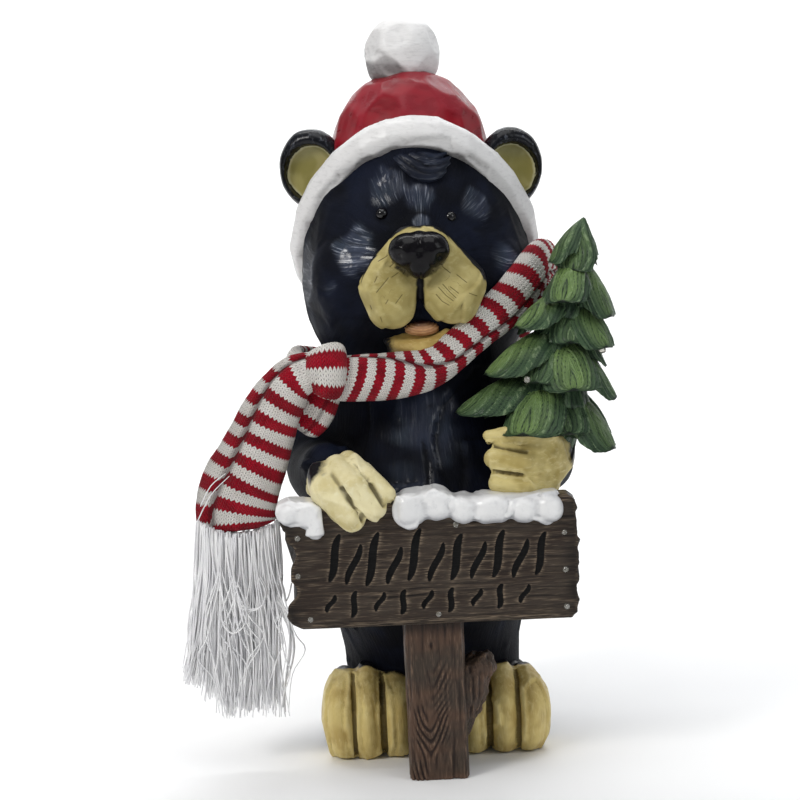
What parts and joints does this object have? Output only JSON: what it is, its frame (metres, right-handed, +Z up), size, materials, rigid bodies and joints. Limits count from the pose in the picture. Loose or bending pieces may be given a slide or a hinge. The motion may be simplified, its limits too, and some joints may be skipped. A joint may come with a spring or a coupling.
{
  "type": "christmas bear statue",
  "caption": "Standing painted bear figure in a winter hat, holding a small fir tree and a plank sign on a post, with a striped knitted scarf.",
  "frame": {"origin": "on the ground under the middle of the bear's body, in the flat underside", "axes": "+Z up; the bear faces -Y; +X is the viewer's right, the side of the bear's left paw and the tree"},
  "size_m": [0.3181, 0.2429, 0.5302],
  "materials": {
    "painted_resin": "hand-painted resin, glossy black fur with cream, red, white, green and brown areas",
    "striped_knit": "knitted yarn in red and off-white stripes",
    "white_yarn": "loose white yarn",
    "clear_bead": "clear glossy bead"
  },
  "bodies": {
    "root": {"bear_figure": "painted_resin", "knitted_scarf": "striped_knit", "scarf_fringe": "white_yarn", "sign_light_01": "clear_bead", "sign_light_02": "clear_bead", "sign_light_03": "clear_bead", "sign_light_04": "clear_bead", "sign_light_05": "clear_bead", "sign_light_06": "clear_bead", "sign_light_07": "clear_bead", "sign_light_08": "clear_bead", "tree_light_01": "clear_bead", "tree_light_02": "clear_bead"}
  },
  "joints": []
}
